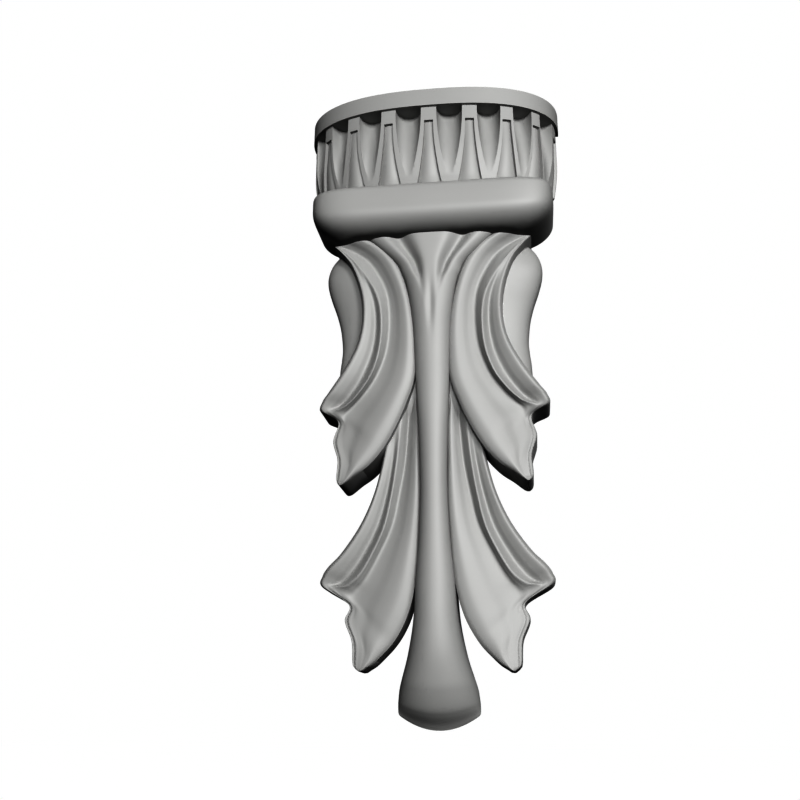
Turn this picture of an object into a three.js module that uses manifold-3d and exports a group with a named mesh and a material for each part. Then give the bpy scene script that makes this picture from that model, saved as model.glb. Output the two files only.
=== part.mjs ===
// Carved corbel: a cap plate, a fluted band, a bullnose torus and acanthus leaves either side of a
// fluted stem, all carved from one blank with a flat back.
// Millimetres. X runs across, Y into the wall, Z up. The origin is the wall mount, on the flat back.

import * as THREE from 'three';
import { mergeVertices } from 'three/addons/utils/BufferGeometryUtils.js';
import Module from 'manifold-3d';

const wasm = await Module();
wasm.setup();

// Driving dimensions

const MOUNT_HEIGHT = 200; // wall mount above the foot of the stem
const CARVING_HEIGHT = 255.5; // foot of the stem to the cut tops of the leaves
const NECK_HEIGHT = 3; // recess between the leaves and the torus
const TORUS_HEIGHT = 26.5;
const BAND_HEIGHT = 48.5; // the part of the fluted band that shows between torus and plate
const PLATE_THICKNESS = 10.6;

const PLATE = { halfWidth: 73, depth: 40.4, squareness: 2.44 };
const BAND_INSET = 1.6; // how far the fins stand back from the rim of the plate
const TORUS = { halfWidth: 67.35, depth: 41.2, squareness: 7.4 };
const TORUS_TOP_RADIUS = 4;
const TORUS_SIDE_ROUND = { drop: 17, draw: 26.5 }; // lower rounding at the ends
const TORUS_FRONT_ROUND = { drop: 11.5, draw: 11.5 }; // lower rounding in front

const DART_STEP = Math.PI / 10; // darts stand at even angles, seen from above
const DART_SWEEP_SHARE = 1.038; // radius of the circle of those angles, in half widths of the band
const DARTS_EACH_SIDE = 4;
const FLUTE_SHARE = 0.63; // mouth of a flute as a share of the way from dart to dart
const FLUTE_DEPTH = 10;
const FLUTE_SWING = 1.5; // how late a flute swings out through the face: more gives a slimmer point
const FLUTE_FOOT = 5; // solid left under each flute's point
const DART_HEAD = 8.8; // plate down to the top of a dart panel
const DART_TOP_WIDTH = 4.9;
const DART_FOOT_WIDTH = 15;
const DART_RECESS = 2;
const BAND_DRAW = 2.5; // how far the band draws in at its foot
const BAND_DRAW_SHARE = 0.42; // share of the band's height over which it does
const BAND_STEP = 5.5; // height above the torus where the ends of the band spring out over it
const BAND_FOOT_INSET = 0.95; // how far the band's foot stands back from the ends of the torus

// Vase shape behind the upper leaves, full round in section about a line that stands off the wall
const BODY = { halfWidth: 60, centre: 12, depth: 13.5, squareness: 2.8 };

const BACK_SPARE = 6; // every form runs this far past the back before the back is sawn flat

// Heights that follow from them

const TORUS_FOOT = CARVING_HEIGHT + NECK_HEIGHT;
const TORUS_TOP = TORUS_FOOT + TORUS_HEIGHT;
const PLATE_FOOT = TORUS_TOP + BAND_HEIGHT;
const PLATE_TOP = PLATE_FOOT + PLATE_THICKNESS;

// The carving's guide curves, in hundredths of CARVING_HEIGHT. Each row is one section of a leaf,
// from its cut top to its tip: across and up for the inner edge, the valley, the ridge and the outer
// edge, then how far five lines stand out from the wall: inner roll, valley, ridge, hollow, rim.

const UPPER_LEAF = [
  [12.8, 100, 19.9, 100, 20.6, 100, 21.3, 100, 12.1, 10.2, 10.1, 10.0, 9.9],
  [9.6, 97.7, 16.2, 97.9, 17.4, 96.9, 19.5, 97.8, 12.0, 10.2, 10.9, 11.0, 10.8],
  [6.8, 93.7, 13.0, 94.9, 14.5, 93.2, 17.1, 94.1, 11.9, 10.2, 11.5, 11.6, 11.3],
  [4.9, 87.9, 9.9, 88.9, 11.5, 87.1, 15.1, 87.7, 11.7, 10.2, 11.8, 11.1, 11.5],
  [3.8, 81.8, 9.0, 82.6, 10.6, 81.4, 14.8, 81.4, 11.6, 10.2, 11.8, 10.5, 11.5],
  [3.4, 75.1, 9.5, 75.5, 11.0, 75.0, 16.0, 75.9, 11.5, 10.1, 11.7, 10.2, 11.4],
  [3.7, 68.5, 11.5, 69.7, 12.6, 69.7, 18.8, 70.6, 11.4, 9.9, 11.5, 9.9, 11.1],
  [5.5, 63.0, 14.2, 65.7, 15.1, 65.9, 21.6, 66.6, 11.2, 9.5, 11.0, 9.3, 10.5],
  [7.4, 58.7, 16.6, 63.2, 17.8, 63.4, 23.1, 64.7, 11.0, 8.9, 10.2, 8.7, 9.8],
  [9.2, 55.4, 18.0, 61.4, 20.3, 62.1, 23.5, 62.7, 10.8, 8.7, 9.2, 9.2, 9.1],
  [11.0, 52.8, 17.9, 59.2, 19.1, 60.0, 20.0, 60.6, 10.6, 8.7, 8.3, 8.1, 7.9],
  [13.3, 50.4, 18.4, 55.4, 19.8, 56.0, 20.8, 56.3, 10.4, 9.0, 8.8, 8.6, 8.4],
  [15.7, 48.7, 17.5, 51.1, 18.8, 51.8, 19.7, 52.2, 10.2, 9.6, 9.4, 9.2, 9.0],
  [17.3, 47.4, 18.2, 48.0, 19.0, 48.3, 19.8, 48.6, 10.0, 9.8, 9.6, 9.4, 9.2],
  [18.0, 46.9, 18.7, 47.2, 19.2, 47.3, 19.6, 47.4, 9.8, 9.6, 9.5, 9.4, 9.2],
  [18.5, 46.7, 18.7, 46.7, 18.9, 46.7, 19.1, 46.8, 9.6, 9.5, 9.4, 9.3, 9.2],
];

const LOWER_LEAF = [
  [3.1, 71.2, 4.9, 71.2, 5.7, 71.2, 8.2, 71.2, 8.4, 7.7, 8.6, 8.7, 8.4],
  [3.2, 64.6, 5.0, 64.6, 6.1, 64.6, 8.8, 64.6, 8.4, 7.5, 8.6, 8.7, 8.4],
  [2.8, 58.7, 5.4, 58.7, 6.8, 57.9, 9.4, 58.7, 8.3, 7.2, 8.6, 8.5, 8.3],
  [2.7, 52.1, 6.0, 51.7, 7.6, 51.3, 10.6, 51.9, 8.2, 6.9, 8.4, 7.6, 8.1],
  [2.6, 45.0, 7.1, 45.4, 8.6, 45.0, 12.3, 45.2, 8.1, 6.7, 8.2, 7.0, 7.9],
  [2.9, 38.0, 8.6, 38.7, 10.2, 38.2, 15.0, 39.1, 7.9, 6.5, 8.0, 6.6, 7.6],
  [3.4, 30.9, 11.5, 32.3, 12.9, 32.5, 18.7, 33.7, 7.8, 6.3, 7.6, 6.1, 7.2],
  [4.3, 25.2, 13.8, 28.2, 15.3, 28.9, 21.4, 31.0, 7.6, 6.0, 7.2, 5.7, 6.8],
  [5.5, 21.1, 15.4, 26.2, 17.6, 27.2, 22.7, 29.2, 7.4, 5.6, 6.5, 5.3, 6.2],
  [7.0, 18.0, 16.1, 24.6, 19.7, 26.5, 22.8, 27.1, 7.2, 5.5, 5.8, 5.8, 5.7],
  [8.6, 15.7, 15.4, 22.5, 16.6, 23.2, 17.4, 23.6, 7.0, 5.8, 5.5, 5.3, 5.1],
  [10.4, 13.8, 15.6, 19.4, 17.1, 20.2, 18.1, 20.5, 7.0, 6.0, 5.8, 5.6, 5.4],
  [12.1, 12.2, 14.3, 15.1, 15.6, 16.2, 16.6, 16.6, 6.9, 6.5, 6.3, 6.1, 5.9],
  [13.5, 11.3, 14.6, 11.9, 15.5, 12.3, 16.3, 12.6, 6.8, 6.6, 6.4, 6.2, 6.0],
  [14.1, 10.9, 14.9, 11.2, 15.4, 11.4, 15.9, 11.6, 6.7, 6.5, 6.4, 6.3, 6.1],
  [14.6, 10.8, 14.7, 10.8, 14.9, 10.8, 15.1, 10.9, 6.5, 6.4, 6.3, 6.2, 6.1],
];

const LEAF_EDGE_DROP = 0.9; // rounding of both edges of a leaf, in the same hundredths

// The stem, from the foot up, in the same hundredths: height, half width, depth of its front, depth
// where its round starts, then how far out the groove and the crest of the side lobe lie and how deep
// the groove is.

const STEM = [
  [0.15, 7.7, 0.6, 0.1, 3.0, 4.0, 0],
  [0.6, 7.92, 1.1, 0.1, 3.0, 4.0, 0],
  [1.3, 8.0, 2.0, 0.1, 3.0, 4.0, 0],
  [2.6, 8.0, 4.0, 0.2, 3.0, 4.0, 0],
  [3.9, 7.92, 5.4, 0.5, 3.0, 4.0, 0],
  [6.5, 7.6, 6.9, 1.2, 3.0, 4.0, 0],
  [9, 6.95, 7.9, 2.4, 2.8, 3.8, 0],
  [14, 5.6, 9.05, 4.0, 2.2, 3.2, 0],
  [20.5, 4.4, 9.7, 5.6, 1.5, 2.5, 0],
  [28, 3.8, 10.1, 7.0, 1.2, 2.0, 0],
  [36, 3.1, 10.4, 7.8, 1.0, 1.7, 0],
  [46, 2.7, 10.8, 8.5, 0.9, 1.5, 0],
  [56, 2.9, 11.4, 9.1, 0.9, 1.5, 0],
  [66, 3.4, 12.1, 9.8, 1.0, 1.6, 0],
  [75, 3.7, 12.9, 10.5, 1.1, 1.6, 0],
  [81, 4.0, 13.4, 10.8, 1.2, 1.8, 0],
  [86, 4.6, 13.7, 11.1, 1.6, 2.3, 0],
  [89.5, 5.3, 13.9, 11.3, 2.1, 3.0, 0.3],
  [91.5, 6.0, 14.0, 11.4, 2.6, 3.9, 1.0],
  [94.5, 7.5, 14.1, 11.5, 3.6, 5.6, 1.5],
  [100, 13.0, 14.2, 11.7, 6.8, 9.9, 1.8],
];

const STEM_FOOT_RISE = 7; // how far the lower edge of the foot rises from its middle to its sides
const STEM_FOOT_FADE = 50; // height up to which that rise fades out

// Half width of the vase-shaped body at each height, as shares of its largest, with heights in
// hundredths of CARVING_HEIGHT

const BODY_PROFILE = [
  [57.5, 0.3], [59.5, 0.62], [63, 0.8], [67.5, 0.865], [72, 0.867], [75, 0.855], [77.5, 0.848],
  [80.3, 0.857], [83, 0.875], [86, 0.91], [89, 0.955], [92, 0.99], [94.5, 0.995], [97, 0.965],
  [99, 0.91], [100.4, 0.84], [101.2, 0.7],
];

// Fineness of the facets

const PLAN_STEPS = 36;
const BAND_STEPS = 48;
const BODY_STEPS = 24;
const LEAF_STEPS = 11; // facets across a leaf
const LENGTH_STEPS = 2; // facets between two sections of a leaf
const STEM_STEPS = 16; // facets across the stem
const STEM_RISES = 31; // facets from its foot to its top

// Curves and meshes

const hundredths = (share) => (share * CARVING_HEIGHT) / 100;

// A point of the front of a plan that is a flattened half circle, drawn out towards a rectangle as
// its squareness grows. The angle runs from 0 on the right end to PI on the left.
function planPoint(plan, inset, angle) {
  const power = 2 / plan.squareness;
  const across = Math.cos(angle);
  const out = Math.sin(angle);
  const x = Math.sign(across) * Math.abs(across) ** power * (plan.halfWidth - inset);
  const y = -(Math.abs(out) ** power) * (plan.depth - inset);
  return new THREE.Vector2(x, y);
}

// The closed outline of such a plan, with straight ends that run back past the wall
function planRing(plan, inset, steps = PLAN_STEPS) {
  const ring = [new THREE.Vector2(inset - plan.halfWidth, BACK_SPARE)];
  for (let step = 0; step <= steps; step += 1) {
    ring.push(planPoint(plan, inset, Math.PI * (1 - step / steps)));
  }
  ring.push(new THREE.Vector2(plan.halfWidth - inset, BACK_SPARE));
  return ring;
}

// A smooth curve through rows of numbers, read at a place between 0 and 1
function along(rows, place) {
  const last = rows.length - 1;
  const spot = Math.min(Math.max(place, 0), 1) * last;
  const index = Math.min(Math.floor(spot), last - 1);
  const part = spot - index;
  const before = rows[Math.max(index - 1, 0)];
  const from = rows[index];
  const to = rows[index + 1];
  const after = rows[Math.min(index + 2, last)];
  return from.map((value, column) => {
    const leave = (to[column] - before[column]) / 2;
    const arrive = (after[column] - value) / 2;
    const rise = to[column] - value;
    const bend = 3 * rise - 2 * leave - arrive;
    const twist = leave + arrive - 2 * rise;
    return value + part * (leave + part * (bend + part * twist));
  });
}

// A block between two corners
function blockBetween(low, high) {
  const box = new THREE.BoxGeometry(high.x - low.x, high.y - low.y, high.z - low.z);
  box.translate((high.x + low.x) / 2, (high.y + low.y) / 2, (high.z + low.z) / 2);
  return manifoldFrom(box);
}

function manifoldFrom(geometry) {
  geometry.deleteAttribute('normal');
  geometry.deleteAttribute('uv');
  const merged = mergeVertices(geometry, 1e-4);
  return new wasm.Manifold(new wasm.Mesh({
    numProp: 3,
    vertProperties: new Float32Array(merged.attributes.position.array),
    triVerts: new Uint32Array(merged.index.array),
  }));
}

function solidFrom(points, triangles) {
  const geometry = new THREE.BufferGeometry();
  geometry.setAttribute('position', new THREE.Float32BufferAttribute(points.flatMap((p) => p.toArray()), 3));
  geometry.setIndex(triangles);
  return manifoldFrom(geometry);
}

// A closed solid through rings that all have the same number of points, lowest ring first, each ring
// running anticlockwise seen from above
function loft(rings) {
  const size = rings[0].length;
  const points = rings.flat();
  const triangles = [];
  for (let row = 0; row + 1 < rings.length; row += 1) {
    for (let step = 0; step < size; step += 1) {
      const next = (step + 1) % size;
      const a = row * size + step;
      const b = row * size + next;
      triangles.push(a, b, b + size, a, b + size, a + size);
    }
  }
  const capEnd = (ring, start, faceUp) => {
    const centre = ring.reduce((sum, point) => sum.add(point), new THREE.Vector3());
    points.push(centre.divideScalar(size));
    const hub = points.length - 1;
    for (let step = 0; step < size; step += 1) {
      const a = start + step;
      const b = start + ((step + 1) % size);
      triangles.push(hub, ...(faceUp ? [a, b] : [b, a]));
    }
  };
  capEnd(rings[0], 0, false);
  capEnd(rings.at(-1), (rings.length - 1) * size, true);
  return solidFrom(points, triangles);
}

const ringAt = (ring, z) => ring.map((point) => new THREE.Vector3(point.x, point.y, z));

// A closed solid whose front is a grid of points, seen from the front with its rows running down and
// each row running left to right, and whose sides go straight back past the wall
function reliefFrom(grid) {
  const rows = grid.length;
  const columns = grid[0].length;
  const points = grid.flat();
  const backs = points.map((point) => new THREE.Vector3(point.x, BACK_SPARE, point.z));
  const all = points.concat(backs);
  const behind = points.length;
  const triangles = [];
  for (let row = 0; row + 1 < rows; row += 1) {
    for (let column = 0; column + 1 < columns; column += 1) {
      const a = row * columns + column;
      const b = a + 1;
      const c = a + columns;
      const d = c + 1;
      triangles.push(a, c, d, a, d, b);
      triangles.push(a + behind, d + behind, c + behind, a + behind, b + behind, d + behind);
    }
  }
  const wall = (a, b) => triangles.push(a, b, b + behind, a, b + behind, a + behind);
  for (let column = 0; column + 1 < columns; column += 1) {
    wall(column, column + 1);
    wall((rows - 1) * columns + column + 1, (rows - 1) * columns + column);
  }
  for (let row = 0; row + 1 < rows; row += 1) {
    wall((row + 1) * columns, row * columns);
    wall((row + 1) * columns - 1, (row + 2) * columns - 1);
  }
  return solidFrom(all, triangles);
}

// Cap plate, fluted band and torus

function makePlate() {
  const ring = planRing(PLATE, 0);
  return loft([ringAt(ring, PLATE_FOOT), ringAt(ring, PLATE_TOP)]);
}

const BAND = {
  halfWidth: PLATE.halfWidth - BAND_INSET,
  depth: PLATE.depth - BAND_INSET,
  squareness: PLATE.squareness,
};

const DART_SWEEP = BAND.halfWidth * DART_SWEEP_SHARE;

// How far the face of the band stands back from the plate's line at a height
function bandDraw(z) {
  const share = Math.min(Math.max((z - TORUS_TOP - BAND_STEP) / (BAND_HEIGHT * BAND_DRAW_SHARE), 0), 1);
  return BAND_DRAW * (1 - share) ** 1.6;
}

// The place on the front of the band at a number of dart steps from the middle. Past the last dart
// the front runs straight back through the wall.
function bandFront(turn) {
  const last = DARTS_EACH_SIDE;
  const side = Math.sign(turn);
  const across = DART_SWEEP * Math.sin(Math.min(Math.abs(turn), last) * DART_STEP);
  const share = across / BAND.halfWidth;
  const out = BAND.depth * (1 - share ** BAND.squareness) ** (1 / BAND.squareness);
  const further = Math.max(Math.abs(turn) - last, 0) * DART_SWEEP * DART_STEP * 0.9;
  const slope = new THREE.Vector2(
    side * share ** (BAND.squareness - 1) / BAND.halfWidth,
    -((out / BAND.depth) ** (BAND.squareness - 1)) / BAND.depth,
  );
  const outward = further > 0 ? new THREE.Vector2(side, 0) : slope.normalize();
  return { spot: new THREE.Vector2(side * across, further - out), outward };
}

const bandPitch = (turn) => bandFront(turn - 0.5).spot.distanceTo(bandFront(turn + 0.5).spot);

// A flute is a round channel that stands upright at the plate and swings out through the face of the
// band lower down, so that its mouth narrows to a point
function makeFlute(turn) {
  const { spot, outward } = bandFront(turn);
  const sideways = new THREE.Vector2(-outward.y, outward.x);
  const halfMouth = (bandPitch(turn) * FLUTE_SHARE) / 2;
  const foot = TORUS_TOP + FLUTE_FOOT;
  const rises = 5;
  const around = 10;
  const fullness = 2.3;
  const rings = [];
  for (let rise = 0; rise <= rises; rise += 1) {
    const share = rise / rises;
    const swing = FLUTE_DEPTH * (1 - share ** FLUTE_SWING);
    const z = foot + (PLATE_FOOT - foot) * share;
    const ring = [];
    for (let step = 0; step <= around; step += 1) {
      const angle = (Math.PI * step) / around;
      const reach = Math.abs(Math.sin(angle)) ** (2 / fullness) * FLUTE_DEPTH - swing + bandDraw(z);
      const side = Math.sign(Math.cos(angle)) * Math.abs(Math.cos(angle)) ** (2 / fullness) * halfMouth;
      const place = spot.clone().addScaledVector(outward, -reach).addScaledVector(sideways, side);
      ring.push(new THREE.Vector3(place.x, place.y, z));
    }
    const far = FLUTE_DEPTH * 2;
    [-halfMouth, halfMouth].forEach((side) => {
      const place = spot.clone().addScaledVector(outward, far).addScaledVector(sideways, side);
      ring.push(new THREE.Vector3(place.x, place.y, z));
    });
    rings.push(ring);
  }
  return loft(rings);
}

// A dart is the sunk, slightly bellied panel on a fin, square at its head and flaring to its foot
function makeDart(turn) {
  const head = PLATE_FOOT - DART_HEAD;
  const foot = TORUS_TOP - 2;
  const rises = 5;
  const across = 4;
  const rings = [];
  for (let rise = 0; rise <= rises; rise += 1) {
    const share = rise / rises;
    const z = foot + (head - foot) * share;
    const flare = (1 - share) ** 1.9;
    const half = (DART_TOP_WIDTH + (DART_FOOT_WIDTH - DART_TOP_WIDTH) * flare) / 2;
    const floor = [];
    const air = [];
    for (let step = 0; step <= across; step += 1) {
      const side = 1 - (2 * step) / across;
      const { spot, outward } = bandFront(turn + (side * half) / bandPitch(turn));
      const belly = DART_RECESS * (1 - side * side) * (0.9 - 0.7 * share);
      const floorSpot = spot.clone().addScaledVector(outward, belly - DART_RECESS - bandDraw(z));
      const airSpot = spot.clone().addScaledVector(outward, DART_RECESS);
      floor.push(new THREE.Vector3(floorSpot.x, floorSpot.y, z));
      air.unshift(new THREE.Vector3(airSpot.x, airSpot.y, z));
    }
    rings.push(floor.concat(air));
  }
  return loft(rings);
}

function makeBand() {
  const ringWith = (plan, z, inset) => ringAt(planRing(plan, inset, BAND_STEPS), z);
  const spring = TORUS_TOP + BAND_STEP;
  const foot = { ...BAND, halfWidth: TORUS.halfWidth - BAND_FOOT_INSET, depth: BAND.depth - BAND_DRAW };
  const rings = [ringWith(foot, TORUS_TOP - TORUS_TOP_RADIUS, 0), ringWith(foot, spring - BAND_FOOT_INSET, 0)];
  const rises = 4;
  for (let rise = 0; rise <= rises; rise += 1) {
    const z = spring + (BAND_HEIGHT * BAND_DRAW_SHARE * rise) / rises;
    rings.push(ringWith(BAND, z, bandDraw(z)));
  }
  rings.push(ringWith(BAND, PLATE_FOOT, 0));
  let band = loft(rings);
  for (let index = -DARTS_EACH_SIDE - 1; index <= DARTS_EACH_SIDE; index += 1) {
    band = band.subtract(makeFlute(index + 0.5));
  }
  for (let index = -DARTS_EACH_SIDE; index <= DARTS_EACH_SIDE; index += 1) {
    band = band.subtract(makeDart(index));
  }
  return band;
}

// How far a quarter ellipse stands in at a rise above its foot
function roundedInset(round, rise) {
  const share = Math.min(Math.max(1 - rise / round.drop, 0), 1);
  return round.draw * (1 - Math.sqrt(1 - share * share));
}

// The outline of the torus for one inset at its ends and another in front
function torusRing(sideInset, frontInset, z) {
  const ring = [new THREE.Vector3(sideInset - TORUS.halfWidth, BACK_SPARE, z)];
  for (let step = 0; step <= PLAN_STEPS; step += 1) {
    const angle = Math.PI * (1 - step / PLAN_STEPS);
    const inset = sideInset + (frontInset - sideInset) * Math.sin(angle);
    const { x, y } = planPoint(TORUS, inset, angle);
    ring.push(new THREE.Vector3(x, y, z));
  }
  ring.push(new THREE.Vector3(TORUS.halfWidth - sideInset, BACK_SPARE, z));
  return ring;
}

function makeTorus() {
  const rings = [];
  const bends = 7;
  for (let bend = 0; bend <= bends; bend += 1) {
    const rise = TORUS_SIDE_ROUND.drop * (1 - Math.cos((Math.PI / 2) * (bend / bends)));
    const side = roundedInset(TORUS_SIDE_ROUND, rise);
    rings.push(torusRing(side, roundedInset(TORUS_FRONT_ROUND, rise), TORUS_FOOT + rise));
  }
  const topBends = 3;
  for (let bend = 0; bend <= topBends; bend += 1) {
    const angle = (Math.PI / 2) * (bend / topBends);
    const inset = TORUS_TOP_RADIUS * (1 - Math.cos(angle));
    rings.push(torusRing(inset, inset, TORUS_TOP - TORUS_TOP_RADIUS * (1 - Math.sin(angle))));
  }
  return loft(rings);
}

// Body, stem and leaves

// The body's outline, which turns under towards the wall at its sides
function bodyRing(share, z) {
  const ring = [];
  const power = 2 / BODY.squareness;
  const wrap = Math.PI * 0.28;
  for (let step = 0; step <= BODY_STEPS; step += 1) {
    const angle = Math.PI + wrap - ((Math.PI + 2 * wrap) * step) / BODY_STEPS;
    const across = Math.cos(angle);
    const out = Math.sin(angle);
    const x = Math.sign(across) * Math.abs(across) ** power * BODY.halfWidth * share;
    const y = (-BODY.centre - Math.sign(out) * Math.abs(out) ** power * BODY.depth) * share;
    ring.push(new THREE.Vector3(x, step % BODY_STEPS === 0 ? BACK_SPARE : y, z));
  }
  return ring;
}

function makeBody() {
  const rises = BODY_PROFILE.length;
  const rings = [];
  for (let rise = 0; rise <= rises; rise += 1) {
    const [height, share] = along(BODY_PROFILE, rise / rises);
    rings.push(bodyRing(share, hundredths(height)));
  }
  return loft(rings);
}

// The neck joins the carving to the torus in the shade between them
function makeNeck() {
  const plan = { ...BODY, halfWidth: BODY.halfWidth * 0.78, depth: BODY.centre + BODY.depth * 0.6 };
  const ring = planRing(plan, 0, BODY_STEPS);
  return loft([ringAt(ring, CARVING_HEIGHT - NECK_HEIGHT * 2), ringAt(ring, TORUS_FOOT + NECK_HEIGHT)]);
}

// The stem's section: a round front that a pair of grooves parts into a fan and two side lobes where
// it opens out at the top
function stemSection(row) {
  const [height, halfWidth, front, spring, groove, crest, cut] = row;
  const section = [];
  for (let step = 0; step <= STEM_STEPS; step += 1) {
    const turn = (Math.PI * step) / STEM_STEPS;
    const across = -Math.cos(turn) * halfWidth;
    const distance = Math.abs(across);
    const crown = Math.sqrt(Math.max(1 - (distance / halfWidth) ** 2.2, 0));
    const notch = cut * Math.exp(-(((distance - groove) / (0.2 * crest)) ** 2));
    const lift = spring + (front - spring) * crown - notch;
    const fade = Math.max(1 - hundredths(height) / STEM_FOOT_FADE, 0);
    const z = hundredths(height) + STEM_FOOT_RISE * ((distance / halfWidth) * fade) ** 2;
    section.push(new THREE.Vector3(hundredths(across), -hundredths(lift), z));
  }
  return section;
}

function makeStem() {
  const rows = [];
  for (let rise = STEM_RISES; rise >= 0; rise -= 1) {
    rows.push(stemSection(along(STEM, rise / STEM_RISES)));
  }
  return reliefFrom(rows);
}

// One row of a leaf table becomes twelve guide points, from the inner edge to the outer one
function leafGuides(row, side) {
  const [ix, iz, vx, vz, rx, rz, ox, oz, roll, valley, ridge, hollow, rim] = row;
  const blend = (a, b, part) => a + (b - a) * part;
  const fromInner = (part, out) => [blend(ix, vx, part) * side, blend(iz, vz, part), out];
  const fromValley = (part, out) => [blend(vx, rx, part) * side, blend(vz, rz, part), out];
  const fromRidge = (part, out) => [blend(rx, ox, part) * side, blend(rz, oz, part), out];
  return [
    fromInner(0, roll - LEAF_EDGE_DROP),
    fromInner(0.08, roll - LEAF_EDGE_DROP / 3),
    fromInner(0.27, roll),
    fromInner(0.52, blend(roll, valley, 0.25)),
    fromInner(0.76, blend(roll, valley, 0.72)),
    fromValley(0, valley),
    fromValley(0.5, blend(valley, ridge, 0.55)),
    fromValley(1, ridge),
    fromRidge(0.28, hollow),
    fromRidge(0.55, blend(hollow, rim, 0.6)),
    fromRidge(0.85, rim),
    fromRidge(1, rim - LEAF_EDGE_DROP),
  ];
}

function makeLeaf(table, side) {
  const rows = [];
  const rises = (table.length - 1) * LENGTH_STEPS;
  for (let rise = 0; rise <= rises; rise += 1) {
    const guides = leafGuides(along(table, rise / rises), side);
    const row = [];
    for (let step = 0; step <= LEAF_STEPS; step += 1) {
      const [x, z, out] = along(guides, step / LEAF_STEPS);
      row.push(new THREE.Vector3(hundredths(x), -hundredths(out), hundredths(z)));
    }
    rows.push(side > 0 ? row : row.reverse());
  }
  return reliefFrom(rows);
}

// Everything is one block of stuff: the forms are joined and the back is sawn flat

function makeCorbel() {
  const forms = [makePlate(), makeBand(), makeTorus(), makeNeck(), makeBody(), makeStem()];
  [-1, 1].forEach((side) => {
    forms.push(makeLeaf(UPPER_LEAF, side), makeLeaf(LOWER_LEAF, side));
  });
  const whole = forms.reduce((sum, form) => sum.add(form));
  const low = new THREE.Vector3(-PLATE.halfWidth * 2, 0, -PLATE_TOP);
  const high = new THREE.Vector3(PLATE.halfWidth * 2, BACK_SPARE * 20, PLATE_TOP * 2);
  return whole.subtract(blockBetween(low, high));
}

function geometryFrom(manifold) {
  const { vertProperties, triVerts, numProp } = manifold.getMesh();
  const geometry = new THREE.BufferGeometry();
  const count = vertProperties.length / numProp;
  const positions = new Float32Array(count * 3);
  for (let index = 0; index < count; index += 1) {
    positions.set(vertProperties.subarray(index * numProp, index * numProp + 3), index * 3);
  }
  geometry.setAttribute('position', new THREE.BufferAttribute(positions, 3));
  geometry.setIndex(Array.from(triVerts));
  return geometry;
}

const stone = new THREE.MeshStandardMaterial({ color: 0x8c8c8b, roughness: 0.6, metalness: 0 });
const corbel = new THREE.Mesh(geometryFrom(makeCorbel()), stone);
corbel.name = 'carved_corbel';
corbel.position.set(0, 0, -MOUNT_HEIGHT);

const group = new THREE.Group();
group.add(corbel);

export default group;
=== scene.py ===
"""Carved corbel: acanthus leaves either side of a stem, under a torus, a fluted band and a cap plate.

The part is one block, so it is one piece: each form is made fine, all are joined, and the back is
sawn flat. Sizes are in millimetres, counted up from the foot of the stem, as the carver would take
them, and are moved to the wall mount and turned to metres when a form is meshed.
"""

import logging
import math
from dataclasses import dataclass, field
from enum import Enum

import bpy
import numpy as np
from mathutils import Matrix, Vector


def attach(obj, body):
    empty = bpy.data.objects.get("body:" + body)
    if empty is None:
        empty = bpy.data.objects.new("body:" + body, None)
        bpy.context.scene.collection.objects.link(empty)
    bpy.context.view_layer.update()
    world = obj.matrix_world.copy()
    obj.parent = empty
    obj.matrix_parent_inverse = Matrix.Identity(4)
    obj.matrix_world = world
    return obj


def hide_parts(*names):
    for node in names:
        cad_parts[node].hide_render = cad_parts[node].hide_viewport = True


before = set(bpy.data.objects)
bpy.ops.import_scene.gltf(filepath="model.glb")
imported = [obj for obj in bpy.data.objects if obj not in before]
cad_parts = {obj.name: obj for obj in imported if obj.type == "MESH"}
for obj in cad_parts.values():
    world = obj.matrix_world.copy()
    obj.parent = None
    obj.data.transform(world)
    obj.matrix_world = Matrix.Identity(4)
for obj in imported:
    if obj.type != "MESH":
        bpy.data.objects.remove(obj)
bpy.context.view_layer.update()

log = logging.getLogger("corbel")

MM = 0.001
MOUNT_HEIGHT = 200.0
CARVING_HEIGHT = 255.5
BACK_SPARE = 6.0
SMOOTH_ANGLE = math.radians(30)


class Joining(Enum):
    """How a second form changes a first one."""

    ADD = "UNION"
    CUT = "DIFFERENCE"


# Curves and meshes


def along(rows: np.ndarray, places: np.ndarray) -> np.ndarray:
    """Reads a smooth curve through rows of numbers.

    Args:
        rows: one row for each guide point, in order.
        places: where to read the curve, from 0 at its first row to 1 at its last.

    Returns:
        One row for each place.
    """
    last = len(rows) - 1
    spots = np.clip(places, 0.0, 1.0) * last
    index = np.minimum(spots.astype(int), last - 1)
    part = (spots - index)[:, None]
    before = rows[np.maximum(index - 1, 0)]
    start, end = rows[index], rows[index + 1]
    after = rows[np.minimum(index + 2, last)]
    leave, arrive, rise = (end - before) / 2, (after - start) / 2, end - start
    bend, twist = 3 * rise - 2 * leave - arrive, leave + arrive - 2 * rise
    return start + part * (leave + part * (bend + part * twist))


def object_from(name: str, points: np.ndarray, faces: list[tuple[int, ...]]) -> bpy.types.Object:
    """Makes a mesh object.

    Args:
        name: the object's name.
        points: its corners in millimetres, up from the foot of the stem.
        faces: its faces, each with its corners anticlockwise seen from outside.

    Returns:
        The new object, with its place in its mesh.
    """
    mesh = bpy.data.meshes.new(name)
    places = (points - np.array([0.0, 0.0, MOUNT_HEIGHT])) * MM
    mesh.from_pydata(places.tolist(), [], faces)
    mesh.validate()
    item = bpy.data.objects.new(name, mesh)
    bpy.context.scene.collection.objects.link(item)
    return item


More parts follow.
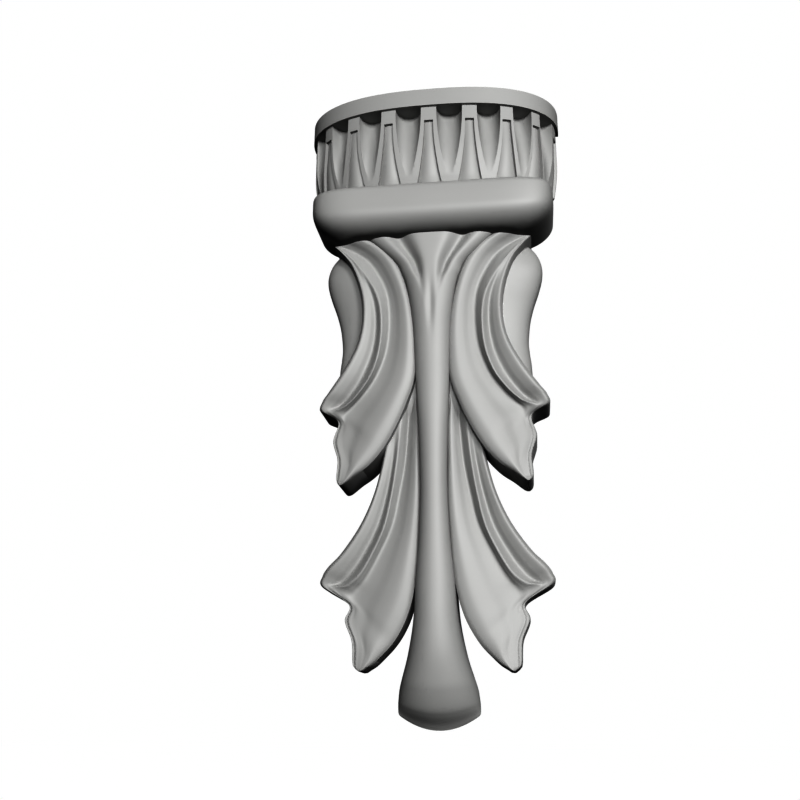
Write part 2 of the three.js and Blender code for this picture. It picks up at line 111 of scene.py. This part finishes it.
def loft(name: str, rings: np.ndarray) -> bpy.types.Object:
    """Makes a closed form through rings.

    Args:
        name: the object's name.
        rings: lowest ring first, each with the same number of points, anticlockwise from above.

    Returns:
        The new object.
    """
    count, size = rings.shape[:2]
    step = np.arange(size)
    beyond = (step + 1) % size
    faces: list[tuple[int, ...]] = []
    for row in range(count - 1):
        low, high = row * size, (row + 1) * size
        faces += zip(low + step, low + beyond, high + beyond, high + step)
    foot, head = count * size, count * size + 1
    top = (count - 1) * size
    faces += zip(np.full(size, foot), beyond, step)
    faces += zip(np.full(size, head), top + step, top + beyond)
    hubs = np.stack([rings[0].mean(axis=0), rings[-1].mean(axis=0)])
    points = np.concatenate([rings.reshape(-1, 3), hubs])
    return object_from(name, points, [tuple(int(c) for c in face) for face in faces])


def relief(name: str, grid: np.ndarray) -> bpy.types.Object:
    """Makes a closed form whose front is a grid and whose sides run straight back past the wall.

    Args:
        name: the object's name.
        grid: rows of points running down, each row from left to right seen from the front.

    Returns:
        The new object.
    """
    rows, columns = grid.shape[:2]
    front = grid.reshape(-1, 3)
    back = front.copy()
    back[:, 1] = BACK_SPARE
    behind = len(front)
    corner = np.arange(rows * columns).reshape(rows, columns)
    a, b = corner[:-1, :-1].ravel(), corner[:-1, 1:].ravel()
    c, d = corner[1:, :-1].ravel(), corner[1:, 1:].ravel()
    faces = list(zip(a, c, d, b)) + list(zip(a + behind, b + behind, d + behind, c + behind))
    rim = np.concatenate([corner[0], corner[1:, -1], corner[-1, -2::-1], corner[-2:0:-1, 0]])
    following = np.roll(rim, -1)
    faces += zip(rim, following, following + behind, rim + behind)
    return object_from(name, np.concatenate([front, back]), [tuple(int(c) for c in f) for f in faces])


def join(first: bpy.types.Object, second: bpy.types.Object, how: Joining) -> None:
    """Adds a second closed form to a first one, or cuts it away, and deletes the second.

    Args:
        first: the object that is changed.
        second: the object that is used up.
        how: whether it is added or cut away.
    """
    change = first.modifiers.new(how.name, "BOOLEAN")
    change.operation = how.value
    change.solver = "MANIFOLD"
    change.object = second
    bpy.ops.object.select_all(action="DESELECT")
    bpy.context.view_layer.objects.active = first
    bpy.ops.object.modifier_apply(modifier=change.name)
    bpy.data.objects.remove(second)


@dataclass(frozen=True)
class Plan:
    """The front of a form seen from above: a flattened half circle, boxier as squareness grows."""

    half_width: float
    depth: float
    squareness: float

    def front(self, inset: np.ndarray | float, angles: np.ndarray) -> np.ndarray:
        """Reads points of the front.

        Args:
            inset: how far each point stands in from the plan's own line.
            angles: from 0 on the right end to pi on the left.

        Returns:
            Rows of x and y.
        """
        power = 2 / self.squareness
        across, out = np.cos(angles), np.sin(angles)
        x = np.sign(across) * np.abs(across) ** power * (self.half_width - inset)
        y = -np.sign(out) * np.abs(out) ** power * (self.depth - inset)
        return np.stack([x, y], axis=-1)

    def ring(self, inset: float, height: float, steps: int = 180) -> np.ndarray:
        """Returns the closed outline at a height, with ends that run straight past the wall."""
        front = self.front(inset, np.linspace(math.pi, 0.0, steps + 1))
        side = self.half_width - inset
        outline = np.concatenate([[[-side, BACK_SPARE]], front, [[side, BACK_SPARE]]])
        return np.column_stack([outline, np.full(len(outline), height)])


# Cap plate, fluted band and torus


@dataclass
class CapPlate:
    """The flat slab on top, D-shaped from above."""

    plan: Plan = Plan(73.0, 40.4, 2.44)
    foot: float = 333.5
    thickness: float = 10.6

    def build(self) -> bpy.types.Object:
        """Returns the slab."""
        heights = (self.foot, self.foot + self.thickness)
        return loft("cap_plate", np.stack([self.plan.ring(0.0, z) for z in heights]))


@dataclass
class Torus:
    """The bullnose roll, round below, more so at its ends than in front."""

    plan: Plan = Plan(67.35, 41.2, 7.4)
    foot: float = 258.5
    height: float = 26.5
    top_radius: float = 4.0
    side_drop: float = 17.0
    side_draw: float = 26.5
    front_drop: float = 11.5
    front_draw: float = 11.5

    def build(self) -> bpy.types.Object:
        """Returns the roll."""
        steps = 200
        angles = np.linspace(math.pi, 0.0, steps + 1)
        facing = np.sin(angles)
        rings = []
        for height in self.foot + self.side_drop * (1 - np.cos(np.linspace(0, math.pi / 2, 25))):
            side = self.rounding(height - self.foot, self.side_drop, self.side_draw)
            front = self.rounding(height - self.foot, self.front_drop, self.front_draw)
            rings.append(self.ring(side + (front - side) * facing, angles, float(height)))
        for bend in np.linspace(0, math.pi / 2, 9):
            inset = self.top_radius * (1 - math.cos(bend)) + 0 * facing
            height = self.foot + self.height - self.top_radius * (1 - math.sin(bend))
            rings.append(self.ring(inset, angles, height))
        return loft("torus", np.stack(rings))

    @staticmethod
    def rounding(rise: float, drop: float, draw: float) -> float:
        """Returns how far a quarter ellipse stands in at a rise above its foot."""
        share = min(max(1 - rise / drop, 0.0), 1.0)
        return draw * (1 - math.sqrt(1 - share * share))

    def ring(self, inset: np.ndarray, angles: np.ndarray, height: float) -> np.ndarray:
        """Returns the closed outline at a height, for an inset that changes round the front."""
        front = self.plan.front(inset, angles)
        ends = [[front[0, 0], BACK_SPARE]], [[front[-1, 0], BACK_SPARE]]
        outline = np.concatenate([ends[0], front, ends[1]])
        return np.column_stack([outline, np.full(len(outline), height)])


@dataclass
class FlutedBand:
    """The upright band between torus and plate, with round flutes between darts."""

    plan: Plan = Plan(71.4, 38.8, 2.44)
    torus_top: float = 285.0
    torus_radius: float = 4.0
    height: float = 48.5
    sweep: float = 74.1
    step: float = math.pi / 10
    darts_each_side: int = 4
    flute_share: float = 0.63
    flute_depth: float = 10.0
    flute_foot: float = 5.0
    flute_squareness: float = 2.3
    flute_swing: float = 1.5
    flute_air: float = 20.0
    dart_head: float = 8.8
    dart_top_width: float = 4.9
    dart_foot_width: float = 15.0
    dart_recess: float = 2.0
    dart_sink: float = 2.0
    dart_flare: float = 1.9
    dart_belly: tuple[float, float] = (0.9, 0.7)
    foot_draw: float = 2.5
    draw_share: float = 0.42
    draw_power: float = 1.6
    end_pitch_share: float = 0.9
    foot_half_width: float = 66.4
    spring: float = 5.5

    def draw(self, height: float) -> float:
        """Returns how far the face stands in from the plate's line at a height."""
        share = (height - self.torus_top - self.spring) / (self.height * self.draw_share)
        return self.foot_draw * (1 - min(max(share, 0.0), 1.0)) ** self.draw_power

    def front(self, turn: float) -> tuple[np.ndarray, np.ndarray]:
        """Finds a place on the front.

        Args:
            turn: how many dart steps it is from the middle. Past the last dart the front runs
                straight back through the wall.

        Returns:
            The place and the way out from the band there, both as x and y.
        """
        last, side = self.darts_each_side, math.copysign(1.0, turn)
        across = self.sweep * math.sin(min(abs(turn), last) * self.step)
        share, power = across / self.plan.half_width, self.plan.squareness
        out = self.plan.depth * (1 - share**power) ** (1 / power)
        further = max(abs(turn) - last, 0.0) * self.sweep * self.step * self.end_pitch_share
        slope = np.array(
            [
                side * share ** (power - 1) / self.plan.half_width,
                -((out / self.plan.depth) ** (power - 1)) / self.plan.depth,
            ]
        )
        outward = np.array([side, 0.0]) if further > 0 else slope / np.linalg.norm(slope)
        return np.array([side * across, further - out]), outward

    def pitch(self, turn: float) -> float:
        """Returns the length of one dart step along the front."""
        return float(np.linalg.norm(self.front(turn + 0.5)[0] - self.front(turn - 0.5)[0]))

    def flute(self, turn: float) -> bpy.types.Object:
        """Makes a round channel that swings out through the face lower down, to a point.

        Args:
            turn: how many dart steps it is from the middle.

        Returns:
            The form to cut away.
        """
        spot, outward = self.front(turn)
        sideways = np.array([-outward[1], outward[0]])
        half_mouth = self.pitch(turn) * self.flute_share / 2
        foot, head = self.torus_top + self.flute_foot, self.torus_top + self.height
        power = 2 / self.flute_squareness
        angles = np.linspace(0, math.pi, 41)
        rings = []
        for share in np.linspace(0, 1, 25):
            height = foot + (head - foot) * share
            swing = self.flute_depth * (1 - share**self.flute_swing) - self.draw(height)
            reach = np.abs(np.sin(angles)) ** power * self.flute_depth - swing
            side = np.sign(np.cos(angles)) * np.abs(np.cos(angles)) ** power * half_mouth
            reach = np.concatenate([reach, [-self.flute_air, -self.flute_air]])
            side = np.concatenate([side, [-half_mouth, half_mouth]])
            places = spot - reach[:, None] * outward + side[:, None] * sideways
            rings.append(np.column_stack([places, np.full(len(places), height)]))
        return loft("flute", np.stack(rings))

    def dart(self, turn: float) -> bpy.types.Object:
        """Makes a sunk, slightly bellied panel, square at its head and flaring to its foot.

        Args:
            turn: how many dart steps it is from the middle.

        Returns:
            The form to cut away.
        """
        foot, head = self.torus_top - self.dart_sink, self.torus_top + self.height - self.dart_head
        pitch = self.pitch(turn)
        belly_foot, belly_fall = self.dart_belly
        rings = []
        for share in np.linspace(0, 1, 25):
            height = foot + (head - foot) * share
            flare = (self.dart_foot_width - self.dart_top_width) * (1 - share) ** self.dart_flare
            half = (self.dart_top_width + flare) / 2
            floor, air = [], []
            for side in np.linspace(1, -1, 13):
                spot, outward = self.front(turn + side * half / pitch)
                belly = self.dart_recess * (1 - side * side) * (belly_foot - belly_fall * share)
                floor.append(spot + outward * (belly - self.dart_recess - self.draw(height)))
                air.insert(0, spot + outward * self.dart_recess)
            places = np.array(floor + air)
            rings.append(np.column_stack([places, np.full(len(places), height)]))
        return loft("dart", np.stack(rings))

    def build(self) -> bpy.types.Object:
        """Returns the band with its flutes and darts cut."""
        spring = self.torus_top + self.spring
        foot = Plan(self.foot_half_width, self.plan.depth - self.foot_draw, self.plan.squareness)
        steps = 240
        foot_heights = (self.torus_top - self.torus_radius, spring - 1.0)
        rings = [foot.ring(0.0, height, steps) for height in foot_heights]
        for height in np.linspace(spring, spring + self.height * self.draw_share, 9):
            rings.append(self.plan.ring(self.draw(height), height, steps))
        rings.append(self.plan.ring(0.0, self.torus_top + self.height, steps))
        band = loft("fluted_band", np.stack(rings))
        last = self.darts_each_side
        for index in range(-last - 1, last + 1):
            join(band, self.flute(index + 0.5), Joining.CUT)
        for index in range(-last, last + 1):
            join(band, self.dart(float(index)), Joining.CUT)
        return band


# Body, stem and leaves


@dataclass
class Body:
    """The vase-shaped mass behind the upper leaves, full round in section."""

    half_width: float = 60.0
    centre: float = 12.0
    depth: float = 13.5
    squareness: float = 2.8
    wrap: float = 0.28
    neck_plan_shares: tuple[float, float] = (0.78, 0.6)
    neck_squareness: float = 3.0
    neck_heights: tuple[float, float] = (248.0, 266.0)
    profile: tuple[tuple[float, float], ...] = (
        (57.5, 0.3), (59.5, 0.62), (63, 0.8), (67.5, 0.865), (72, 0.867), (75, 0.855),
        (77.5, 0.848), (80.3, 0.857), (83, 0.875), (86, 0.91), (89, 0.955), (92, 0.99),
        (94.5, 0.995), (97, 0.965), (99, 0.91), (100.4, 0.84), (101.2, 0.7),
    )

    def build(self) -> bpy.types.Object:
        """Returns the body."""
        rings = []
        angles = np.linspace(math.pi * (1 + self.wrap), -math.pi * self.wrap, 161)
        power = 2 / self.squareness
        for height, share in along(np.array(self.profile), np.linspace(0, 1, 97)):
            x = np.sign(np.cos(angles)) * np.abs(np.cos(angles)) ** power * self.half_width
            y = -self.centre - np.sign(np.sin(angles)) * np.abs(np.sin(angles)) ** power * self.depth
            y[0] = y[-1] = BACK_SPARE
            z = np.full(len(x), height * CARVING_HEIGHT / 100)
            rings.append(np.column_stack([x * share, np.where(y > 0, y, y * share), z]))
        return loft("body", np.stack(rings))

    def neck(self) -> bpy.types.Object:
        """Returns the recess that joins the carving to the torus in the shade between them."""
        across, out = self.neck_plan_shares
        plan = Plan(self.half_width * across, self.centre + self.depth * out, self.neck_squareness)
        return loft("neck", np.stack([plan.ring(0.0, z) for z in self.neck_heights]))


@dataclass
class Stem:
    """The stem between the leaves: a bell foot, a slim waist and a fan with two side lobes.

    Each row is height, half width, depth of the front, depth where its round starts, how far out the
    groove and the crest of the side lobe lie, and how deep the groove is, all in hundredths of the
    carving's height.
    """

    rows: tuple[tuple[float, ...], ...] = (
        (0.15, 7.7, 0.6, 0.1, 3.0, 4.0, 0), (0.6, 7.92, 1.1, 0.1, 3.0, 4.0, 0),
        (1.3, 8.0, 2.0, 0.1, 3.0, 4.0, 0), (2.6, 8.0, 4.0, 0.2, 3.0, 4.0, 0),
        (3.9, 7.92, 5.4, 0.5, 3.0, 4.0, 0), (6.5, 7.6, 6.9, 1.2, 3.0, 4.0, 0),
        (9, 6.95, 7.9, 2.4, 2.8, 3.8, 0), (14, 5.6, 9.05, 4.0, 2.2, 3.2, 0),
        (20.5, 4.4, 9.7, 5.6, 1.5, 2.5, 0), (28, 3.8, 10.1, 7.0, 1.2, 2.0, 0),
        (36, 3.1, 10.4, 7.8, 1.0, 1.7, 0), (46, 2.7, 10.8, 8.5, 0.9, 1.5, 0),
        (56, 2.9, 11.4, 9.1, 0.9, 1.5, 0), (66, 3.4, 12.1, 9.8, 1.0, 1.6, 0),
        (75, 3.7, 12.9, 10.5, 1.1, 1.6, 0), (81, 4.0, 13.4, 10.8, 1.2, 1.8, 0),
        (86, 4.6, 13.7, 11.1, 1.6, 2.3, 0), (89.5, 5.3, 13.9, 11.3, 2.1, 3.0, 0.3),
        (91.5, 6.0, 14.0, 11.4, 2.6, 3.9, 1.0), (94.5, 7.5, 14.1, 11.5, 3.6, 5.6, 1.5),
        (100, 13.0, 14.2, 11.7, 6.8, 9.9, 1.8),
    )
    foot_rise: float = 7.0
    foot_fade: float = 50.0
    crease_height: float = 84.0
    crease_depth: float = 0.3
    crease_length: float = 4.5
    crease_width: float = 0.7
    crown_power: float = 2.2
    groove_width_share: float = 0.2

    def build(self) -> bpy.types.Object:
        """Returns the stem. The lower edge of its foot rises towards the sides."""
        grid = []
        turns = np.linspace(0, math.pi, 97)
        for row in along(np.array(self.rows), np.linspace(1, 0, 201)):
            height, half_width, front, spring, groove, crest, cut = row
            across = -np.cos(turns) * half_width
            distance = np.abs(across)
            crown = np.sqrt(np.maximum(1 - (distance / half_width) ** self.crown_power, 0))
            groove_width = self.groove_width_share * crest
            notch = cut * np.exp(-(((distance - groove) / groove_width) ** 2))
            fall = math.exp(-(((height - self.crease_height) / self.crease_length) ** 2))
            crease = self.crease_depth * fall * np.exp(-((distance / self.crease_width) ** 2))
            lift = spring + (front - spring) * crown - notch - crease
            points = np.column_stack([across, -lift, np.full(len(turns), height)])
            points *= CARVING_HEIGHT / 100
            fade = max(1 - points[0, 2] / self.foot_fade, 0.0)
            points[:, 2] += self.foot_rise * (distance / half_width * fade) ** 2
            grid.append(points)
        return relief("stem", np.stack(grid))


@dataclass
class Leaf:
    """One half of an acanthus leaf, with a rolled inner edge, a valley, a ridge and a spooned lobe.

    Each row is one section from the cut top to the tip, in hundredths of the carving's height: across
    and up for the inner edge, the valley, the ridge and the outer edge, then how far five lines stand
    out from the wall: inner roll, valley, ridge, hollow and outer rim.
    """

    name: str
    rows: tuple[tuple[float, ...], ...]
    edge_drop: float = 0.9

    def guides(self, row: np.ndarray, side: int) -> np.ndarray:
        """Turns one row into the guide points of its section.

        Args:
            row: the row of the table.
            side: 1 for the right leaf and -1 for the left one.

        Returns:
            Rows of x, z and how far out, from the inner edge to the outer one.
        """
        inner, valley, ridge, outer = row[0:2], row[2:4], row[4:6], row[6:8]
        roll, low, crest, hollow, rim = row[8:]
        lines = [
            (inner, valley, 0.0, roll - self.edge_drop),
            (inner, valley, 0.08, roll - self.edge_drop / 3),
            (inner, valley, 0.27, roll),
            (inner, valley, 0.52, roll + (low - roll) * 0.25),
            (inner, valley, 0.76, roll + (low - roll) * 0.72),
            (valley, ridge, 0.0, low),
            (valley, ridge, 0.5, low + (crest - low) * 0.55),
            (valley, ridge, 1.0, crest),
            (ridge, outer, 0.28, hollow),
            (ridge, outer, 0.55, hollow + (rim - hollow) * 0.6),
            (ridge, outer, 0.85, rim),
            (ridge, outer, 1.0, rim - self.edge_drop),
        ]
        points = []
        for start, end, share, out in lines:
            x, z = start + (end - start) * share
            points.append((x * side, z, out))
        return np.array(points)

    def build(self, side: int) -> bpy.types.Object:
        """Returns the leaf on one side: 1 is the right, -1 the left."""
        grid = []
        for row in along(np.array(self.rows), np.linspace(0, 1, (len(self.rows) - 1) * 9 + 1)):
            section = along(self.guides(row, side), np.linspace(0, 1, 89))
            points = np.column_stack([section[:, 0], -section[:, 2], section[:, 1]])
            grid.append(points[::side])
        return relief(self.name, np.stack(grid) * CARVING_HEIGHT / 100)


UPPER_LEAF = Leaf(
    "upper_leaf",
    (
        (12.8, 100, 19.9, 100, 20.6, 100, 21.3, 100, 12.1, 10.2, 10.1, 10.0, 9.9),
        (9.6, 97.7, 16.2, 97.9, 17.4, 96.9, 19.5, 97.8, 12.0, 10.2, 10.9, 11.0, 10.8),
        (6.8, 93.7, 13.0, 94.9, 14.5, 93.2, 17.1, 94.1, 11.9, 10.2, 11.5, 11.6, 11.3),
        (4.9, 87.9, 9.9, 88.9, 11.5, 87.1, 15.1, 87.7, 11.7, 10.2, 11.8, 11.1, 11.5),
        (3.8, 81.8, 9.0, 82.6, 10.6, 81.4, 14.8, 81.4, 11.6, 10.2, 11.8, 10.5, 11.5),
        (3.4, 75.1, 9.5, 75.5, 11.0, 75.0, 16.0, 75.9, 11.5, 10.1, 11.7, 10.2, 11.4),
        (3.7, 68.5, 11.5, 69.7, 12.6, 69.7, 18.8, 70.6, 11.4, 9.9, 11.5, 9.9, 11.1),
        (5.5, 63.0, 14.2, 65.7, 15.1, 65.9, 21.6, 66.6, 11.2, 9.5, 11.0, 9.3, 10.5),
        (7.4, 58.7, 16.6, 63.2, 17.8, 63.4, 23.1, 64.7, 11.0, 8.9, 10.2, 8.7, 9.8),
        (9.2, 55.4, 18.0, 61.4, 20.3, 62.1, 23.5, 62.7, 10.8, 8.7, 9.2, 9.2, 9.1),
        (11.0, 52.8, 17.9, 59.2, 19.1, 60.0, 20.0, 60.6, 10.6, 8.7, 8.3, 8.1, 7.9),
        (13.3, 50.4, 18.4, 55.4, 19.8, 56.0, 20.8, 56.3, 10.4, 9.0, 8.8, 8.6, 8.4),
        (15.7, 48.7, 17.5, 51.1, 18.8, 51.8, 19.7, 52.2, 10.2, 9.6, 9.4, 9.2, 9.0),
        (17.3, 47.4, 18.2, 48.0, 19.0, 48.3, 19.8, 48.6, 10.0, 9.8, 9.6, 9.4, 9.2),
        (18.0, 46.9, 18.7, 47.2, 19.2, 47.3, 19.6, 47.4, 9.8, 9.6, 9.5, 9.4, 9.2),
        (18.5, 46.7, 18.7, 46.7, 18.9, 46.7, 19.1, 46.8, 9.6, 9.5, 9.4, 9.3, 9.2),
    ),
)

LOWER_LEAF = Leaf(
    "lower_leaf",
    (
        (3.1, 71.2, 4.9, 71.2, 5.7, 71.2, 8.2, 71.2, 8.4, 7.7, 8.6, 8.7, 8.4),
        (3.2, 64.6, 5.0, 64.6, 6.1, 64.6, 8.8, 64.6, 8.4, 7.5, 8.6, 8.7, 8.4),
        (2.8, 58.7, 5.4, 58.7, 6.8, 57.9, 9.4, 58.7, 8.3, 7.2, 8.6, 8.5, 8.3),
        (2.7, 52.1, 6.0, 51.7, 7.6, 51.3, 10.6, 51.9, 8.2, 6.9, 8.4, 7.6, 8.1),
        (2.6, 45.0, 7.1, 45.4, 8.6, 45.0, 12.3, 45.2, 8.1, 6.7, 8.2, 7.0, 7.9),
        (2.9, 38.0, 8.6, 38.7, 10.2, 38.2, 15.0, 39.1, 7.9, 6.5, 8.0, 6.6, 7.6),
        (3.4, 30.9, 11.5, 32.3, 12.9, 32.5, 18.7, 33.7, 7.8, 6.3, 7.6, 6.1, 7.2),
        (4.3, 25.2, 13.8, 28.2, 15.3, 28.9, 21.4, 31.0, 7.6, 6.0, 7.2, 5.7, 6.8),
        (5.5, 21.1, 15.4, 26.2, 17.6, 27.2, 22.7, 29.2, 7.4, 5.6, 6.5, 5.3, 6.2),
        (7.0, 18.0, 16.1, 24.6, 19.7, 26.5, 22.8, 27.1, 7.2, 5.5, 5.8, 5.8, 5.7),
        (8.6, 15.7, 15.4, 22.5, 16.6, 23.2, 17.4, 23.6, 7.0, 5.8, 5.5, 5.3, 5.1),
        (10.4, 13.8, 15.6, 19.4, 17.1, 20.2, 18.1, 20.5, 7.0, 6.0, 5.8, 5.6, 5.4),
        (12.1, 12.2, 14.3, 15.1, 15.6, 16.2, 16.6, 16.6, 6.9, 6.5, 6.3, 6.1, 5.9),
        (13.5, 11.3, 14.6, 11.9, 15.5, 12.3, 16.3, 12.6, 6.8, 6.6, 6.4, 6.2, 6.0),
        (14.1, 10.9, 14.9, 11.2, 15.4, 11.4, 15.9, 11.6, 6.7, 6.5, 6.4, 6.3, 6.1),
        (14.6, 10.8, 14.7, 10.8, 14.9, 10.8, 15.1, 10.9, 6.5, 6.4, 6.3, 6.2, 6.1),
    ),
)


# Finish


def linear(hex_colour: str) -> tuple[float, float, float, float]:
    """Turns an sRGB hex colour into the linear colour that a shader socket takes."""
    parts = [int(hex_colour[i : i + 2], 16) / 255 for i in (1, 3, 5)]
    values = [p / 12.92 if p <= 0.04045 else ((p + 0.055) / 1.055) ** 2.4 for p in parts]
    return (*values, 1.0)


def add_node(tree: bpy.types.NodeTree, kind: str, links: dict, **settings) -> bpy.types.Node:
    """Adds a node to a tree.

    Args:
        tree: the node tree.
        kind: the node's type.
        links: what each input gets, by name or number: an output socket, or a plain value.
        settings: the node's own settings.

    Returns:
        The new node.
    """
    node = tree.nodes.new(kind)
    for name, value in settings.items():
        setattr(node, name, value)
    for name, value in links.items():
        if isinstance(value, bpy.types.NodeSocket):
            tree.links.new(value, node.inputs[name])
        else:
            node.inputs[name].default_value = value
    return node


@dataclass(frozen=True)
class HonedStone:
    """Fine cast stone, rubbed smooth and sealed: an even grey with a soft satin sheen."""

    base: str = "#8c8c8b"
    cloud: str = "#868685"
    roughness: float = 0.55
    ior: float = 1.5
    cloud_size: float = 38.0
    grit_size: float = 0.6
    grit_strength: float = 0.05
    grit_height: float = 0.2

    def material(self) -> bpy.types.Material:
        """Returns the material."""
        material = bpy.data.materials.new("honed_cast_stone")
        material.use_nodes = True
        tree = material.node_tree
        shader = tree.nodes["Principled BSDF"]
        place = add_node(tree, "ShaderNodeTexCoord", {}).outputs["Object"]
        # Slow clouds from the mix, a few centimetres across, that only just show
        clouds = add_node(
            tree, "ShaderNodeTexNoise", {"Vector": place, "Scale": 1 / (self.cloud_size * MM), "Detail": 3.0}
        )
        mixed = add_node(
            tree,
            "ShaderNodeMix",
            {0: clouds.outputs["Fac"], 6: linear(self.base), 7: linear(self.cloud)},
            data_type="RGBA",
        )
        tree.links.new(mixed.outputs[2], shader.inputs["Base Color"])
        # Grit under the sealer, drawn just coarse enough to break up the sheen
        grit = add_node(
            tree, "ShaderNodeTexNoise", {"Vector": place, "Scale": 1 / (self.grit_size * MM), "Detail": 2.0}
        )
        bump = add_node(
            tree,
            "ShaderNodeBump",
            {
                "Height": grit.outputs["Fac"],
                "Strength": self.grit_strength,
                "Distance": self.grit_height * MM,
            },
        )
        tree.links.new(bump.outputs["Normal"], shader.inputs["Normal"])
        shader.inputs["Roughness"].default_value = self.roughness
        shader.inputs["IOR"].default_value = self.ior
        return material


# The whole corbel


@dataclass
class CarvedCorbel:
    """All the forms, joined into one block with a flat back."""

    plate: CapPlate = field(default_factory=CapPlate)
    band: FlutedBand = field(default_factory=FlutedBand)
    torus: Torus = field(default_factory=Torus)
    body: Body = field(default_factory=Body)
    stem: Stem = field(default_factory=Stem)
    finish: HonedStone = HonedStone()

    def saw_back(self, block: bpy.types.Object) -> None:
        """Cuts away all that lies behind the wall face."""
        bpy.ops.object.select_all(action="DESELECT")
        bpy.ops.mesh.primitive_cube_add(size=1.0, location=(0.0, 0.5, 0.0))
        join(block, bpy.context.active_object, Joining.CUT)

    def build(self) -> bpy.types.Object:
        """Returns the finished piece."""
        block = self.band.build()
        log.info("fluted band: %d faces", len(block.data.polygons))
        forms = [
            self.plate.build(), self.torus.build(), self.body.build(), self.body.neck(),
            self.stem.build(),
        ]
        forms += [leaf.build(side) for leaf in (UPPER_LEAF, LOWER_LEAF) for side in (-1, 1)]
        for form in forms:
            log.info("%s: %d faces", form.name, len(form.data.polygons))
            join(block, form, Joining.ADD)
        self.saw_back(block)
        block.name = "carved_block"
        bpy.ops.object.select_all(action="DESELECT")
        block.select_set(True)
        bpy.context.view_layer.objects.active = block
        bpy.ops.object.shade_smooth_by_angle(angle=SMOOTH_ANGLE)
        block.data.materials.clear()
        block.data.materials.append(self.finish.material())
        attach(block, "root")
        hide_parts("carved_corbel")
        log.info("carved_block: %d triangles", sum(len(p.vertices) - 2 for p in block.data.polygons))
        return block


# Studio


@dataclass(frozen=True)
class SoftLight:
    """A square light that faces the middle of the corbel."""

    name: str
    azimuth: float
    elevation: float
    power: float
    size: float = 0.75
    distance: float = 3.0

    def build(self, target: Vector) -> None:
        """Adds the light. Azimuth 0 is straight in front, and grows to the right."""
        turn, lift = math.radians(self.azimuth), math.radians(self.elevation)
        way = Vector((math.sin(turn) * math.cos(lift), -math.cos(turn) * math.cos(lift), math.sin(lift)))
        data = bpy.data.lights.new(self.name, "AREA")
        data.energy, data.size = self.power, self.size
        lamp = bpy.data.objects.new(self.name, data)
        lamp.location = target + way * self.distance
        lamp.rotation_euler = way.to_track_quat("Z", "Y").to_euler()
        bpy.context.scene.collection.objects.link(lamp)


@dataclass
class Studio:
    """The pale floor, the lights and the camera at the photograph's angle."""

    camera_place: tuple[float, float, float] = (47.41, -500.0, -199.6)
    yaw: float = 7.740
    pitch: float = 18.842
    roll: float = 0.3147
    lens: float = 43.58
    sensor: float = 36.0
    aim: tuple[float, float, float] = (0.0, -20.0, -30.0)
    floor_drop: float = 1.4
    floor_size: float = 160.0
    floor_colour: str = "#f4f4f4"
    backdrop: str = "#ffffff"
    fill: float = 0.0
    gamma: float = 0.55
    lights: tuple[SoftLight, ...] = (
        SoftLight("front", 5, 6, 95.0),
        SoftLight("key", 25, 14, 95.0),
        SoftLight("side", 50, 10, 24.0),
        SoftLight("back", 180, 30, 19.0, size=3.75),
    )

    def camera(self) -> None:
        """Adds the camera and makes it the scene's own."""
        data = bpy.data.cameras.new("photo_camera")
        data.lens, data.sensor_width, data.clip_start, data.clip_end = self.lens, self.sensor, 0.01, 500.0
        item = bpy.data.objects.new("photo_camera", data)
        turn = Matrix.Rotation(math.radians(self.yaw), 4, "Z")
        lift = Matrix.Rotation(math.radians(90 + self.pitch), 4, "X")
        tilt = Matrix.Rotation(math.radians(self.roll), 4, "Z")
        item.matrix_world = Matrix.Translation(Vector(self.camera_place) * MM) @ turn @ lift @ tilt
        bpy.context.scene.collection.objects.link(item)
        bpy.context.scene.camera = item

    def floor(self) -> None:
        """Adds the floor, far below, where it throws no light back on the part."""
        bpy.ops.object.select_all(action="DESELECT")
        bpy.ops.mesh.primitive_plane_add(size=self.floor_size, location=(0.0, 0.0, -self.floor_drop))
        floor = bpy.context.active_object
        floor.name = "floor"
        material = bpy.data.materials.new("pale_floor")
        material.use_nodes = True
        shader = material.node_tree.nodes["Principled BSDF"]
        shader.inputs["Base Color"].default_value = linear(self.floor_colour)
        shader.inputs["Roughness"].default_value = 0.9
        shader.inputs["Emission Color"].default_value = linear(self.backdrop)
        shader.inputs["Emission Strength"].default_value = 1.0
        floor.data.materials.append(material)
        floor.visible_diffuse = False
        floor.visible_glossy = False

    def world(self) -> None:
        """Makes the backdrop white to the eye, with no light from it while the fill is 0."""
        world = bpy.data.worlds.new("studio")
        world.use_nodes = True
        tree = world.node_tree
        tree.nodes.clear()
        path = add_node(tree, "ShaderNodeLightPath", {})
        soft = add_node(tree, "ShaderNodeBackground", {"Color": linear("#ffffff"), "Strength": self.fill})
        seen = add_node(tree, "ShaderNodeBackground", {"Color": linear(self.backdrop), "Strength": 1.0})
        mixed = add_node(
            tree,
            "ShaderNodeMixShader",
            {0: path.outputs["Is Camera Ray"], 1: soft.outputs[0], 2: seen.outputs[0]},
        )
        add_node(tree, "ShaderNodeOutputWorld", {"Surface": mixed.outputs[0]})
        bpy.context.scene.world = world

    def build(self) -> None:
        """Builds the whole studio."""
        self.camera()
        self.floor()
        self.world()
        for light in self.lights:
            light.build(Vector(self.aim) * MM)
        bpy.context.scene.view_settings.view_transform = "Standard"
        bpy.context.scene.view_settings.gamma = self.gamma


def main() -> None:
    """Builds the studio and the corbel."""
    logging.basicConfig(level=logging.INFO, format="%(message)s")
    Studio().build()
    CarvedCorbel().build()


if __name__ == "__main__":
    main()
